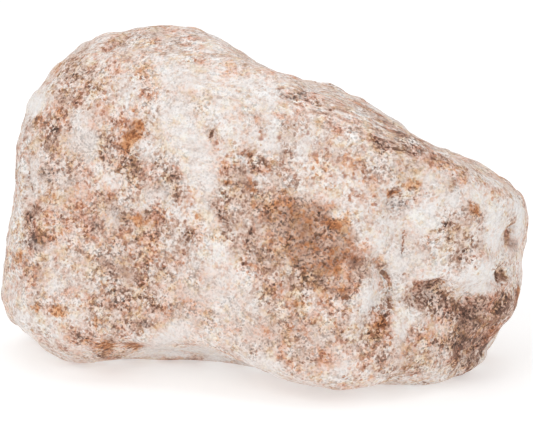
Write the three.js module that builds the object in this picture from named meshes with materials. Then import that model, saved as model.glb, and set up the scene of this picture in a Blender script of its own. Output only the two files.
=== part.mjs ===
// A lump of natural rock salt: one solid, broken from its bed along a few fracture faces and
// worn round at the edges. Millimetres, +Z up. The lump lies on a flat facet at Z = 0. Its length
// runs along X, with the high end at -X, and its broad mottled front looks along -Y.

import * as THREE from 'three';
import { ImprovedNoise } from 'three/addons/math/ImprovedNoise.js';
import { mergeVertices } from 'three/addons/utils/BufferGeometryUtils.js';

// Driving dimensions: the lump's extent along X, Y and Z.
const LENGTH = 165;
const DEPTH = 116;
const HEIGHT = 104;

// The heart is the point inside the lump that every distance and place below is measured from.
const HEART_HEIGHT = 46.5;

// A higher sharpness leaves crisper edges between the fracture faces.
const EDGE_SHARPNESS = 17;

// Fracture faces: the way each one looks, and how far out from the heart it lies.
const FRACTURE_FACES = [
  { name: 'front', looks: [-0.32, -0.93, 0.2], out: 42 },
  { name: 'front right', looks: [0.36, -0.93, 0.06], out: 62 },
  { name: 'upper front', looks: [-0.29, -0.61, 0.74], out: 56 },
  { name: 'left', looks: [-0.97, -0.19, 0.15], out: 76 },
  { name: 'upper left', looks: [-0.74, 0.02, 0.68], out: 77 },
  { name: 'crown', looks: [-0.1, 0.2, 0.98], out: 60 },
  { name: 'long slope', looks: [0.47, 0.13, 0.88], out: 43 },
  { name: 'right end', looks: [0.93, -0.36, 0.05], out: 83 },
  { name: 'lower right', looks: [0.77, -0.35, -0.54], out: 81 },
  { name: 'lower left', looks: [-0.67, -0.15, -0.72], out: 82.5 },
  { name: 'under front', looks: [-0.17, -0.4, -0.9], out: 50.5 },
  { name: 'back', looks: [0.32, 0.94, 0.1], out: 44 },
  { name: 'back left', looks: [-0.72, 0.68, 0.1], out: 69 },
  { name: 'back right', looks: [0.75, 0.65, -0.1], out: 63 },
  { name: 'upper back', looks: [-0.05, 0.72, 0.7], out: 56 },
  { name: 'lower back', looks: [0.16, 0.69, -0.7], out: 56 },
];

// Rounded lumps on the faces: where each one is, how far it spreads along X, Y and Z, and how far
// it rises. A hollow has a negative rise.
const LUMPS = [
  { name: 'saddle under the crown', at: [-1, 15, 44], spread: [20, 45, 20], rise: -5 },
  { name: 'back of the slope', at: [30, 15, 33], spread: [16, 40, 18], rise: 2 },
  { name: 'dip before the end', at: [54, 10, 22], spread: [8, 40, 12], rise: -1.5 },
  { name: 'end shoulder', at: [71, 5, 14], spread: [14, 40, 14], rise: 3.5 },
  { name: 'end knob', at: [79, -28, -24], spread: [8, 16, 8], rise: 4 },
  { name: 'left brow', at: [-74, -5, 28], spread: [14, 25, 16], rise: 2.5 },
  { name: 'left bulge', at: [-80, -5, -16], spread: [12, 25, 16], rise: 2 },
  { name: 'arch underneath', at: [-22, -28, -44], spread: [20, 20, 14], rise: -3 },
  { name: 'toe', at: [15, -50, -40], spread: [19, 14, 13], rise: 6.5 },
  { name: 'notch beside the toe', at: [44, -44, -42], spread: [8, 14, 8], rise: -2.5 },
  { name: 'left foot', at: [-56, -18, -42], spread: [14, 20, 12], rise: 9 },
  { name: 'white cheek', at: [-20, -34, 18], spread: [12, 10, 22], rise: 1.4 },
  { name: 'rib beside the crack', at: [30, -55, -14], spread: [5, 8, 11], rise: 1.8 },
  { name: 'crown recess', at: [-48, -4, 53], spread: [9, 7, 4], rise: -1.8 },
  { name: 'left hollow', at: [-66, -15, 26], spread: [6, 8, 9], rise: -1.6 },
  { name: 'grey hollow', at: [41, -49, 13], spread: [6, 8, 5], rise: -2 },
  { name: 'arched hollow', at: [49, -47, -12], spread: [8, 8, 5], rise: -2.2 },
  { name: 'dark hollow', at: [60, -42, -21], spread: [9, 9, 7], rise: -2.4 },
  { name: 'end pit', at: [76, -29, 0], spread: [5, 7, 7], rise: -2.6 },
  { name: 'small end pit', at: [71, -33, -12], spread: [5, 6, 5], rise: -2 },
  { name: 'back knob', at: [-42, 46, -8], spread: [15, 14, 17], rise: 3.5 },
  { name: 'back hollow', at: [14, 42, -4], spread: [17, 14, 13], rise: -3.5 },
  { name: 'upper back hollow', at: [-34, 44, 34], spread: [14, 16, 11], rise: -2.5 },
  { name: 'back heel', at: [44, 28, -34], spread: [14, 12, 10], rise: 2.5 },
].map((lump) => ({
  at: new THREE.Vector3(...lump.at),
  spread: new THREE.Vector3(...lump.spread),
  rise: lump.rise,
}));

// Cracks and ledge lines: grooves along a straight run, with their half width and depth.
const GROOVES = [
  { name: 'upper crack', from: [37, -52, -2], to: [37, -53, -16], halfWidth: 3.8, depth: 2.2 },
  { name: 'lower crack', from: [37, -53, -16], to: [33, -57, -29], halfWidth: 4.2, depth: 2.4 },
  { name: 'short crack', from: [42, -49, 7], to: [42, -50, -1], halfWidth: 3.4, depth: 1.4 },
  { name: 'upper slope ledge', from: [13, -38, 43], to: [25, -42, 40], halfWidth: 3.6, depth: 1.6 },
  { name: 'lower slope ledge', from: [27, -44, 38], to: [42, -45, 31], halfWidth: 3.8, depth: 1.9 },
  { name: 'upper back seam', from: [-30, 52, 22], to: [-4, 47, 12], halfWidth: 5, depth: 1.8 },
  { name: 'lower back seam', from: [-4, 47, 12], to: [32, 34, 17], halfWidth: 4, depth: 1.4 },
].map((groove) => ({
  run: new THREE.Line3(new THREE.Vector3(...groove.from), new THREE.Vector3(...groove.to)),
  halfWidth: groove.halfWidth,
  depth: groove.depth,
}));

// Rolling unevenness of the worn faces: swell length and height of each layer.
const SWELLS = [
  { length: 34, height: 2.2 },
  { length: 15, height: 1.1 },
  { length: 9, height: 0.8 },
];

// Subdivision of the starting icosahedron: 20 x (detail + 1)^2 triangles.
const DETAIL = 19;

// Corners of the icosahedron's triangles closer than this become one, on a unit radius.
const WELD_DISTANCE = 1e-5;

const noise = new ImprovedNoise();
const faces = FRACTURE_FACES.map((face) => ({
  normal: new THREE.Vector3(...face.looks).normalize(),
  out: face.out,
}));

// How far the lump reaches from its heart along a direction.
function reach(direction) {
  let sum = 0;
  for (const { normal, out } of faces) {
    const lean = Math.max(0, normal.dot(direction));
    sum += (lean / out) ** EDGE_SHARPNESS;
  }
  return sum ** (-1 / EDGE_SHARPNESS);
}

// How far the surface stands out at a point, from the lumps, grooves and swells.
function relief(point) {
  let rise = 0;
  for (const lump of LUMPS) {
    const away = point.clone().sub(lump.at).divide(lump.spread);
    rise += lump.rise * Math.exp(-away.lengthSq());
  }
  for (const groove of GROOVES) {
    const nearest = groove.run.closestPointToPoint(point, true, new THREE.Vector3());
    const away = point.distanceTo(nearest) / groove.halfWidth;
    rise -= groove.depth * Math.exp(-away * away);
  }
  for (const swell of SWELLS) {
    const { x, y, z } = point.clone().divideScalar(swell.length);
    rise += swell.height * noise.noise(x, y, z);
  }
  return rise;
}

// One closed skin of triangles, spread evenly over the lump.
function lumpGeometry() {
  const geometry = new THREE.IcosahedronGeometry(1, DETAIL);
  geometry.deleteAttribute('normal');
  geometry.deleteAttribute('uv');
  const skin = mergeVertices(geometry, WELD_DISTANCE);
  const position = skin.getAttribute('position');
  const direction = new THREE.Vector3();
  const proportions = new THREE.Vector3(LENGTH, DEPTH, HEIGHT);
  for (let i = 0; i < position.count; i += 1) {
    direction.fromBufferAttribute(position, i).multiply(proportions).normalize();
    const surface = direction.clone().multiplyScalar(reach(direction));
    surface.addScaledVector(direction, relief(surface));
    if (surface.z < -HEART_HEIGHT) surface.multiplyScalar(-HEART_HEIGHT / surface.z);
    position.setXYZ(i, surface.x, surface.y, surface.z);
  }
  return skin;
}

// Brings the skin to the driving dimensions, centred over the origin with its base at Z = 0.
function fitToSize(geometry) {
  geometry.computeBoundingBox();
  const size = geometry.boundingBox.getSize(new THREE.Vector3());
  geometry.scale(LENGTH / size.x, DEPTH / size.y, HEIGHT / size.z);
  geometry.computeBoundingBox();
  const centre = geometry.boundingBox.getCenter(new THREE.Vector3());
  geometry.translate(-centre.x, -centre.y, -geometry.boundingBox.min.z);
  geometry.computeVertexNormals();
  return geometry;
}

const salt = new THREE.MeshStandardMaterial({ color: 0xdcc6ba, roughness: 0.7, metalness: 0 });

const lump = new THREE.Mesh(fitToSize(lumpGeometry()), salt);
lump.name = 'salt_lump';

const rockSalt = new THREE.Group();
rockSalt.add(lump);

export default rockSalt;
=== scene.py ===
"""A lump of natural rock salt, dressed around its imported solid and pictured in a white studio.

Metres and +Z up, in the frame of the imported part. Sizes below are in millimetres where a name ends in _mm.
"""

from __future__ import annotations

import logging
import math
import random
from dataclasses import dataclass
from enum import Enum

import bmesh
import bpy
import numpy as np
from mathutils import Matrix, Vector, noise
from mathutils.bvhtree import BVHTree

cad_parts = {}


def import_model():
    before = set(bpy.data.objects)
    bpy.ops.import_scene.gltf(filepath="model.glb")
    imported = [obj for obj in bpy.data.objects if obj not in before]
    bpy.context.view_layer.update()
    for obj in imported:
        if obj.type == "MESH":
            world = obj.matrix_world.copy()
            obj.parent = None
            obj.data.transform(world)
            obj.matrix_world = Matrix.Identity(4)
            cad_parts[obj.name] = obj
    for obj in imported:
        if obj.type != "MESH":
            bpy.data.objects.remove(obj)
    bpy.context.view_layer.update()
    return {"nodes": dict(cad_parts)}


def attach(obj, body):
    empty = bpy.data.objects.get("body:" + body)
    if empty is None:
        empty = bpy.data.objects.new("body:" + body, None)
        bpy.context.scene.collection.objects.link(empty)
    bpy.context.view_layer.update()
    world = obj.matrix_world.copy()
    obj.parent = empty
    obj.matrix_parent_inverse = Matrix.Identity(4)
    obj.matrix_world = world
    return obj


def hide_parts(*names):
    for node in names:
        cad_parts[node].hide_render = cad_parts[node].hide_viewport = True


LOG = logging.getLogger("rock_salt")

MM = 0.001
CAD_NODE = "salt_lump"
BODY = "root"


def linear(colour: str) -> tuple[float, float, float, float]:
    """Turns an sRGB colour into the linear colour that a shader takes.

    Args:
        colour: sRGB hex value such as "#F2EDEA".

    Returns:
        Red, green, blue and alpha.
    """
    # The curve of the sRGB standard: a straight toe, then a power.
    shares = [int(colour[start : start + 2], 16) / 255 for start in (1, 3, 5)]
    red, green, blue = [s / 12.92 if s <= 0.04045 else ((s + 0.055) / 1.055) ** 2.4 for s in shares]
    return red, green, blue, 1.0


def smoothstep(low: float, high: float, value: np.ndarray) -> np.ndarray:
    """Eases values from 0 at low to 1 at high.

    Args:
        low: Where the result leaves 0.
        high: Where the result reaches 1. It may be below low, for a falling step.
        value: The values to ease.

    Returns:
        One share from 0 to 1 for each value.
    """
    share = np.clip((value - low) / (high - low), 0.0, 1.0)
    return share * share * (3.0 - 2.0 * share)


def unit(vector: tuple[float, float, float]) -> np.ndarray:
    """Gives the vector's direction with a length of 1."""
    array = np.array(vector, float)
    return array / np.linalg.norm(array)


@dataclass(frozen=True)
class PhotoView:
    """The camera of the photograph: it looks along +Y, and down on the lump a little.

    Attributes:
        elevation_deg: How far it looks down.
        distance_mm: How far it stands from its target.
        target_mm: The point in the middle of the image.
        image_px: The image's width and height.
        pixel_mm: What a pixel covers in the plane through the target.
        sensor_mm: The width of its sensor.
    """

    elevation_deg: float = 14.0
    distance_mm: float = 800.0
    target_mm: tuple[float, float, float] = (1.6, 0.0, 44.5)
    image_px: tuple[int, int] = (533, 431)
    pixel_mm: float = 0.3125
    sensor_mm: float = 36.0

    @property
    def back(self) -> np.ndarray:
        """Direction from the target to the camera."""
        tilt = math.radians(self.elevation_deg)
        return np.array([0.0, -math.cos(tilt), math.sin(tilt)])

    @property
    def right(self) -> np.ndarray:
        """Direction that runs to the right in the image."""
        return np.array([1.0, 0.0, 0.0])

    @property
    def up(self) -> np.ndarray:
        """Direction that runs upwards in the image."""
        return np.cross(self.back, self.right)

    @property
    def eye_mm(self) -> np.ndarray:
        """Where the camera stands."""
        return np.array(self.target_mm) + self.back * self.distance_mm

    def behind_pixel(self, pixel: tuple[float, float]) -> np.ndarray:
        """Finds the point that a pixel shows in the plane through the target.

        Args:
            pixel: Place in the image, from its top left corner.

        Returns:
            The point, in millimetres.
        """
        across = (pixel[0] - self.image_px[0] / 2) * self.pixel_mm
        rise = (self.image_px[1] / 2 - pixel[1]) * self.pixel_mm
        return np.array(self.target_mm) + self.right * across + self.up * rise

    def place_camera(self) -> bpy.types.Object:
        """Makes the camera and hands it to the scene.

        Returns:
            The camera object.
        """
        data = bpy.data.cameras.new("photo_camera")
        data.sensor_width = self.sensor_mm
        data.lens = self.sensor_mm * self.distance_mm / (self.image_px[0] * self.pixel_mm)
        camera = bpy.data.objects.new("photo_camera", data)
        bpy.context.scene.collection.objects.link(camera)
        camera.location = Vector(self.eye_mm * MM)
        camera.rotation_euler = Vector(-self.back).to_track_quat("-Z", "Y").to_euler()
        bpy.context.scene.camera = camera
        return camera


class Mark(Enum):
    """The vertex attributes that tell the finish what lies where.

    STAIN is clay or rust of any colour, with painted shade in a few hollows, on the upward faces and the
    left side, and painted light along the lower rim, and RUST and GREY turn its hue. FLECK is red specks,
    GRIT is how strongly the grain speckles the stain, CRACK is the dark line along a dent, painted shade
    under the slope's ledges, in the crown recess and along the arch line, and WORN is streaks of the bed.
    """

    STAIN = "stain"
    RUST = "rust"
    GREY = "grey"
    FLECK = "fleck"
    GRIT = "grit"
    CRACK = "crack"
    WORN = "worn"


@dataclass(frozen=True)
class Dose:
    """How much a tint adds to each mark where it is strongest. The fields are the values of Mark."""

    stain: float = 0.0
    rust: float = 0.0
    grey: float = 0.0
    fleck: float = 0.0
    grit: float = 0.0
    crack: float = 0.0
    worn: float = 0.0


class Tint(Enum):
    """What colours the salt, and what it adds to each mark.

    PEACH, TAN, CLAY and BROWN are films of clay, from thin to thick. RUST is iron oxide, GRIME is dark dirt
    among the grains, and CRACK is the dark line along the dents. BROWN, GRIME and CRACK also paint shade in
    the arched hollow, under the slope's ledges and in the crown recess. GREY is clear crystal, WHITE is
    clean salt full of small cracks and painted light along the lower rim, and FLECK is red specks. WORN is a
    weathered face, partly painted shade that darkens the upward faces and the left side, and SILKY is a
    smooth pale one.
    """

    PEACH = Dose(stain=0.13, rust=0.1, grit=-0.15)
    TAN = Dose(stain=0.2, rust=0.1, grit=0.25)
    CLAY = Dose(stain=0.275, rust=0.34, grey=-0.3, grit=-0.45)
    BROWN = Dose(stain=0.28, rust=0.05, grey=-0.1, grit=0.45)
    RUST = Dose(stain=0.22, rust=0.85, grey=-0.5, grit=0.15)
    GRIME = Dose(stain=0.2, grey=0.1, grit=1.0)
    CRACK = Dose(crack=1.0)
    GREY = Dose(stain=0.2, rust=-0.4, grey=0.9, grit=-0.4)
    WHITE = Dose(stain=-0.18, rust=-0.1, grey=0.15, grit=-0.2)
    FLECK = Dose(stain=0.03, rust=0.15, fleck=1.0, grit=0.15)
    WORN = Dose(stain=0.12, rust=-0.1, grey=0.2, grit=-0.3, worn=1.0)
    SILKY = Dose(grit=-0.42, worn=0.6)


@dataclass(frozen=True)
class Patch:
    """A patch of one tint that the photograph shows.

    Attributes:
        name: What the patch is or where it is.
        at: Its middle, in pixels of the image.
        half_mm: Half its length and half its width.
        turn_deg: Which way its length runs, from the image's right, counterclockwise.
        strength: How strong the tint is in the middle.
    """

    name: str
    at: tuple[float, float]
    half_mm: tuple[float, float]
    turn_deg: float = 0.0
    strength: float = 1.0


# The patches that the photograph shows.
PATCHES: dict[Tint, tuple[Patch, ...]] = {
    Tint.PEACH: (
        Patch("crown", (205, 92), (14, 4), -10, 0.3),
        Patch("beside the wedge", (75, 165), (10, 14), 0, 0.6),
        Patch("above the heart", (330, 160), (22, 6), -15, 0.3),
        Patch("upper right", (400, 172), (22, 7), -15, 0.5),
        Patch("lower left", (100, 260), (24, 16), 0, 0.5),
        Patch("under the cheek", (190, 305), (14, 12), 30, 0.4),
        Patch("foot of the front", (255, 335), (20, 9), -15, 0.6),
        Patch("low middle", (300, 345), (18, 10), -15, 0.9),
        Patch("below the crack", (415, 355), (14, 6), 5, 0.6),
        Patch("left edge", (25, 290), (6, 14), 90, 0.5),
        Patch("cheek right", (207, 222), (4, 9), 0, 0.8),
        Patch("band", (186, 140), (9, 16), 20, 0.4),
        Patch("upper middle", (232, 104), (14, 8), -20, 0.3),
        Patch("front foot", (205, 296), (16, 11), 10, 0.7),
    ),
    Tint.TAN: (
        Patch("left shoulder", (78, 82), (8, 11), 60, 0.7),
        Patch("crown edge", (112, 44), (9, 2.6), 25, 0.5),
        Patch("left of the wedge", (110, 125), (4, 7), 80, 0.5),
        Patch("under the wedge", (148, 170), (12, 5), -20, 0.2),
        Patch("left of the streak", (128, 178), (6, 3.5), -20, 1.0),
        Patch("left middle", (62, 170), (8, 6), 0, 0.4),
        Patch("left low middle", (55, 215), (6, 7), 0, 0.5),
        Patch("left edge", (33, 215), (4, 8), 0, 0.3),
        Patch("belt", (92, 206), (12, 5), 5, 0.6),
        Patch("under the belt", (122, 236), (13, 3.5), 0, 0.8),
        Patch("lower left cluster", (128, 275), (13, 9), 0, 0.5),
        Patch("right of the cluster", (160, 265), (5, 5), 0, 0.8),
        Patch("below the cluster", (122, 300), (10, 3.5), 0, 1.0),
        Patch("left low", (40, 265), (5, 8), 90, 0.5),
        Patch("foot", (100, 322), (10, 5), -10, 0.7),
        Patch("foot right", (140, 322), (8, 4), -10, 0.9),
        Patch("foot rim", (85, 340), (6, 3), -15, 1.0),
        Patch("above the heart", (238, 176), (9, 6), -30, 0.5),
        Patch("over the heart", (268, 168), (6, 5), -30, 0.6),
        Patch("left of the heart", (238, 225), (5, 11), 20, 0.3),
        Patch("heart surround", (300, 238), (24, 13), -28, 0.9),
        Patch("heart foot left", (262, 262), (8, 6), -20, 0.4),
        Patch("below the heart", (295, 300), (13, 8), -20, 0.8),
        Patch("low streak", (266, 290), (2.6, 6), 0, 0.9),
        Patch("low left", (272, 328), (6, 3), 0, 0.5),
        Patch("low rim", (308, 357), (9, 3.5), -10, 0.2),
        Patch("right patch", (472, 214), (6, 4), 0, 0.7),
        Patch("right spots", (458, 244), (6, 7), 0, 0.6),
        Patch("lower right", (450, 340), (16, 9), 15, 0.7),
        Patch("right foot", (478, 338), (9, 9), 45, 0.7),
        Patch("bottom", (297, 361), (6, 3), 0, 0.4),
        Patch("bottom right", (412, 368), (9, 3), 0, 0.5),
        Patch("upper right edge", (462, 172), (7, 5), -25, 0.4),
        Patch("slope ledge right", (392, 143), (12, 3), -28, 0.1),
        Patch("slope end", (422, 148), (10, 4), -30, 0.3),
        Patch("beside the wedge", (106, 147), (3, 5), 0, 0.8),
        Patch("beside the flecks", (366, 180), (3, 7), 0, 0.3),
        Patch("slope outline", (295, 86), (5, 2), -15, 0.5),
        Patch("above the cluster", (105, 262), (4, 4), 0, 0.7),
        Patch("shoulder top", (68, 63), (6, 3), 40, 0.9),
        Patch("arm right", (300, 182), (5, 2), 0, 0.8),
        Patch("slope top", (400, 124), (12, 2.4), -32, 1.0),
        Patch("slope step", (350, 129), (8, 2), -10, 0.4),
        Patch("cheek streak top", (172, 170), (4, 3), -30, 0.9),
        Patch("left top", (62, 107), (4, 4), 0, 0.2),
        Patch("belt left", (116, 197), (5, 2), 0, 0.9),
        Patch("crown side", (147, 86), (3, 11), 0, 0.9),
        Patch("above the wedge", (144, 126), (2.4, 5), 0, 1.0),
        Patch("shoulder right", (86, 70), (6, 2.4), 0, 0.9),
        Patch("crown front", (134, 60), (4, 4), 0, 0.5),
        Patch("upper arm", (230, 170), (5, 3), 30, 1.0),
        Patch("arm low", (236, 195), (3, 3), 0, 0.8),
        Patch("left low right", (48, 238), (5, 2.6), 10, 0.8),
        Patch("left foot", (40, 288), (4, 6), 0, 0.8),
        Patch("foot top", (76, 304), (8, 2.4), 0, 0.5),
        Patch("foot middle", (115, 324), (5, 2.8), -15, 0.9),
        Patch("lower lines", (172, 310), (7, 3), 0, 1.0),
        Patch("low left side", (258, 291), (4, 3), 0, 0.6),
        Patch("crack foot", (376, 350), (4, 6), 0, 1.0),
        Patch("crack left", (358, 281), (3, 3), 0, 0.7),
        Patch("right patch low", (441, 215), (4, 3), 0, 0.8),
        Patch("slope outline low", (370, 110), (9, 2), -28, 0.6),
        Patch("beside the heart", (372, 214), (3, 5), 0, 0.4),
        Patch("wedge side", (122, 140), (3, 6), 0, 1.0),
        Patch("wedge foot", (118, 167), (5, 4), 0, 0.7),
        Patch("crown left", (148, 38), (4, 3), 0, 0.5),
        Patch("under the belt right", (126, 252), (9, 3), 0, 1.0),
        Patch("cluster side", (90, 270), (3, 6), 0, 0.7),
        Patch("fleck ground", (328, 170), (3, 4), 0, 0.6),
        Patch("fleck ground right", (357, 163), (3, 2), 0, 0.6),
        Patch("crack side", (372, 319), (3, 3), 0, 0.8),
        Patch("toe", (388, 374), (4, 5), 0, 0.8),
        Patch("below the hollow", (421, 330), (3, 2.4), 0, 0.9),
        Patch("lower belt", (150, 219), (11, 3.4), 5, 0.2),
        Patch("left cluster", (62, 122), (4, 6), 0, 0.6),
        Patch("upper middle", (261, 121), (2.4, 3), 0, 0.7),
        Patch("over the arm", (286, 148), (3, 4), 0, 0.7),
        Patch("band side", (166, 162), (8, 2), 10, 0.7),
        Patch("tail foot", (336, 334), (4, 3), 0, 1.0),
        Patch("wedge left", (122, 131), (4, 4), 0, 0.7),
        Patch("belt right", (130, 218), (4, 3), 0, 0.6),
        Patch("cheek left", (166, 226), (3, 3), 0, 0.7),
        Patch("upper right side", (460, 181), (4, 4), 0, 0.6),
        Patch("arm side", (222, 181), (3, 3), 0, 0.6),
        Patch("above the crack", (372, 265), (4, 3), 0, 0.7),
        Patch("toe rim", (392, 384), (5, 2), 0, 0.7),
        Patch("low foot", (300, 344), (6, 4), 0, 0.4),
        Patch("crack foot low", (372, 343), (4, 3), 0, 0.4),
        Patch("heart arc", (232, 204), (3, 3), 0, 0.5),
    ),
    Tint.CLAY: (
        Patch("heart", (303, 231), (15, 9), -28, 1.0),
        Patch("heart top", (298, 210), (12, 4.6), -12, 0.9),
        Patch("heart right", (333, 248), (6, 7), -40, 0.7),
        Patch("heart corner", (354, 268), (5, 5), -40, 0.7),
        Patch("heart foot", (312, 261), (10, 4), -10, 1.0),
        Patch("heart left", (262, 256), (7, 3.5), -20, 0.2),
        Patch("heart edge top", (346, 236), (3, 3), 0, 0.7),
        Patch("heart tail", (332, 288), (7, 4), -30, 0.5),
        Patch("arm foot", (262, 210), (6, 3.4), -10, 0.8),
        Patch("heart west", (275, 226), (6, 7), 0, 0.2),
    ),
    Tint.BROWN: (
        Patch("upper arm", (235, 168), (5, 3), -30, 0.7),
        Patch("arm", (256, 161), (4, 2.4), -50, 0.3),
        Patch("arm low", (252, 190), (5, 3), -40, 0.4),
        Patch("arm right", (290, 178), (4, 2.4), -30, 0.4),
        Patch("heart arc", (218, 211), (2.2, 5), 15, 0.9),
        Patch("below the heart", (296, 316), (4, 7), -10, 0.2),
        Patch("dark lower right", (475, 312), (11, 5), 10, 1.1),
        Patch("end stain", (511, 312), (5, 8), 20, 1.0),
        Patch("end stain low", (500, 318), (5, 4), 40, 0.9),
        # Painted shade under the arched hollow's overhang.
        Patch("arched hollow", (426, 293), (8, 4), 5, 1.2),
        Patch("lower right band", (478, 332), (10, 6), 40, 1.0),
        Patch("lower right", (449, 341), (5, 3), 10, 0.9),
        Patch("foot stain", (385, 326), (2.4, 5), -5, 0.5),
        Patch("under the wedge", (130, 168), (6, 3), -20, 0.4),
        Patch("cheek streak", (176, 187), (2, 4.6), 10, 0.8),
        Patch("cheek dark", (181, 247), (2.4, 5), -30, 0.6),
        Patch("left cluster", (50, 138), (5, 6), 0, 0.4),
        Patch("left cluster top", (57, 106), (2.4, 4), 0, 0.4),
        Patch("left edge", (30, 229), (3, 5), 0, 0.6),
        Patch("belt", (92, 224), (6, 2.6), 10, 0.5),
        Patch("belt low", (150, 236), (5, 2), 0, 0.7),
        Patch("foot rim", (110, 354), (5, 3), 0, 1.0),
        # The slope ledge patches are partly painted shade under the ledges and partly brownish streak.
        Patch("slope ledge", (322, 103), (8, 1.6), -22, 0.3),
        Patch("slope ledge right", (378, 146), (4, 2), -28, 1.0),
        Patch("slope end", (418, 147), (8, 3), -32, 0.4),
        Patch("heart low", (303, 281), (5, 3), -10, 0.9),
        Patch("low streak", (270, 289), (1.6, 3), 0, 0.9),
        Patch("arm middle", (264, 169), (2.2, 3), 0, 0.8),
        Patch("belt top", (150, 210), (4, 2), 0, 0.9),
        Patch("dark end", (500, 299), (6, 3), 5, 1.0),
        Patch("right rim", (464, 368), (5, 4), 30, 0.7),
        Patch("arm rim", (242, 188), (3, 2.4), -30, 0.8),
        Patch("beside the wedge", (108, 160), (3, 4), 0, 0.9),
        Patch("crack side", (343, 316), (2.4, 5), 0, 0.9),
        Patch("crack foot", (374, 338), (2.4, 3), 0, 1.0),
        Patch("dark end low", (484, 308), (6, 4), 0, 1.2),
        Patch("tail top", (320, 285), (3, 2), 0, 0.8),
        Patch("tail right", (349, 293), (2, 4), 0, 0.8),
        Patch("arm foot", (237, 197), (3, 2.4), 0, 0.8),
        Patch("heart side", (250, 238), (2, 3), 0, 1.0),
        Patch("foot top", (104, 304), (4, 2), 0, 0.6),
        Patch("end pit", (511, 234), (2.4, 4), 0, 0.8),
        Patch("small end pit", (500, 275), (1.8, 3), 0, 0.8),
        Patch("left low right", (47, 238), (4, 2.4), 10, 0.8),
        Patch("foot middle", (115, 323), (4, 2), -15, 0.7),
        Patch("shoulder", (84, 70), (4, 2), 0, 0.5),
        Patch("crack low", (386, 300), (1.6, 6), 0, 0.5),
        Patch("crack stain", (380, 316), (2.6, 4), 0, 0.6),
        Patch("dark middle", (480, 312), (5, 4), 0, 0.8),
        Patch("end side", (514, 298), (4, 4), 0, 0.8),
        Patch("end low", (500, 328), (4, 4), 0, 0.8),
        Patch("left rust", (39, 124), (3.4, 3), 0, 0.7),
        Patch("grey hollow", (395, 192), (2.4, 2), 0, 0.7),
        Patch("right rim top", (476, 352), (4, 5), -30, 0.1),
        Patch("above the crack", (384, 264), (2.4, 2), 0, 0.5),
        Patch("left low dot", (32, 310), (3, 2), 0, 0.5),
        Patch("left low rust", (62, 310), (3, 2), 0, 0.4),
        Patch("dark left", (443, 312), (6, 5), 0, 0.7),
    ),
    Tint.RUST: (
        Patch("wedge top", (138, 127), (2, 2.8), 0, 1.5),
        Patch("wedge", (133, 138), (2.4, 4.6), -30, 1.5),
        Patch("left rust", (41, 121), (3, 2), 0, 0.4),
        Patch("left rust top", (58, 109), (1.4, 2.6), 0, 0.4),
        Patch("heart corner", (335, 224), (3, 2.6), -40, 1.2),
        Patch("heart corner light", (349, 219), (4, 2), 20, 0.7),
        Patch("heart foot", (285, 282), (1.8, 1.5), 0, 0.5),
        Patch("bottom wedge", (134, 347), (3.6, 3), -30, 1.0),
        Patch("bottom rust", (107, 348), (3, 3), 0, 1.0),
        Patch("bottom dot", (86, 340), (2, 1.5), 0, 0.6),
        Patch("left low rust", (62, 311), (4, 2.4), 0, 1.0),
        Patch("left low dot", (35, 308), (3, 1.6), 0, 1.0),
        Patch("left edge rust", (18, 256), (3, 2.4), 0, 1.0),
        Patch("left rust low", (47, 195), (3.4, 2.4), 0, 0.5),
        Patch("arm rust", (232, 181), (2, 1.4), -30, 0.9),
        Patch("arm rust right", (250, 187), (2.4, 2), 0, 0.8),
        Patch("arm rust top", (249, 153), (1.6, 1.6), 0, 0.5),
        Patch("belt rust", (138, 220), (3, 2), 0, 0.8),
        Patch("belt rust right", (198, 216), (1.6, 2), 0, 0.6),
        Patch("tail rust", (338, 293), (3.4, 2), -30, 0.5),
        Patch("low rust", (300, 305), (2, 1.5), 0, 0.7),
        Patch("end rust", (519, 295), (1.6, 3), 0, 1.4),
        Patch("foot rust", (382, 325), (1.8, 2.4), 0, 0.8),
        Patch("above the crack", (381, 262), (2.5, 2.5), 0, 0.9),
        Patch("right corner", (440, 163), (5, 1.6), -25, 0.3),
        Patch("right streak", (411, 186), (3, 1.2), 10, 0.8),
        Patch("hollow rust", (393, 194), (2.4, 1.6), 0, 0.8),
        Patch("right patch", (474, 210), (3, 2.4), 0, 0.7),
        Patch("cluster rust", (100, 322), (2.4, 2), 0, 0.7),
        Patch("crown rust", (228, 64), (4, 1.4), -20, 0.4),
        Patch("heart middle", (306, 236), (6, 4), -20, 0.2),
    ),
    Tint.GRIME: (
        Patch("left cluster", (54, 124), (4, 4), 0, 0.7),
        Patch("left shoulder", (82, 92), (6, 5), 0, 0.2),
        Patch("grey speck", (113, 114), (4, 3), 0, 0.5),
        Patch("under the wedge", (124, 154), (3, 4), 0, 0.3),
        Patch("under the wedge right", (142, 174), (6, 2), -10, 0.2),
        Patch("streak", (173, 180), (1.6, 3), 20, 0.4),
        Patch("left low cluster", (30, 225), (3, 4), 0, 1.0),
        Patch("left low", (33, 242), (4, 3), 0, 0.5),
        Patch("lower cluster", (130, 284), (9, 6), 0, 0.2),
        Patch("lower lines", (158, 305), (4, 2), 0, 0.8),
        Patch("cheek dot", (190, 237), (1.4, 2.8), -30, 0.2),
        Patch("heart left top", (266, 217), (3, 2.4), 40, 0.4),
        Patch("heart left", (246, 246), (1.6, 5), 0, 0.5),
        Patch("heart right", (351, 259), (4, 3), -40, 0.7),
        Patch("heart foot", (318, 281), (1.8, 2.6), 0, 1.0),
        Patch("heart foot left", (304, 268), (4, 1.6), 0, 0.4),
        Patch("heart rim", (280, 193), (3, 1.2), -40, 0.3),
        # Painted shade under the arched hollow's overhang.
        Patch("arched hollow", (432, 285), (6, 2.4), 0, 1.0),
        Patch("dark left", (442, 304), (5, 3), -30, 0.8),
        Patch("dark middle", (468, 304), (5, 2.5), 10, 0.6),
        Patch("dark end", (481, 307), (6, 3), 10, 1.5),
        Patch("end stain", (504, 304), (3, 4), -30, 0.9),
        Patch("lower band", (482, 342), (8, 3), 40, 1.0),
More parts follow.
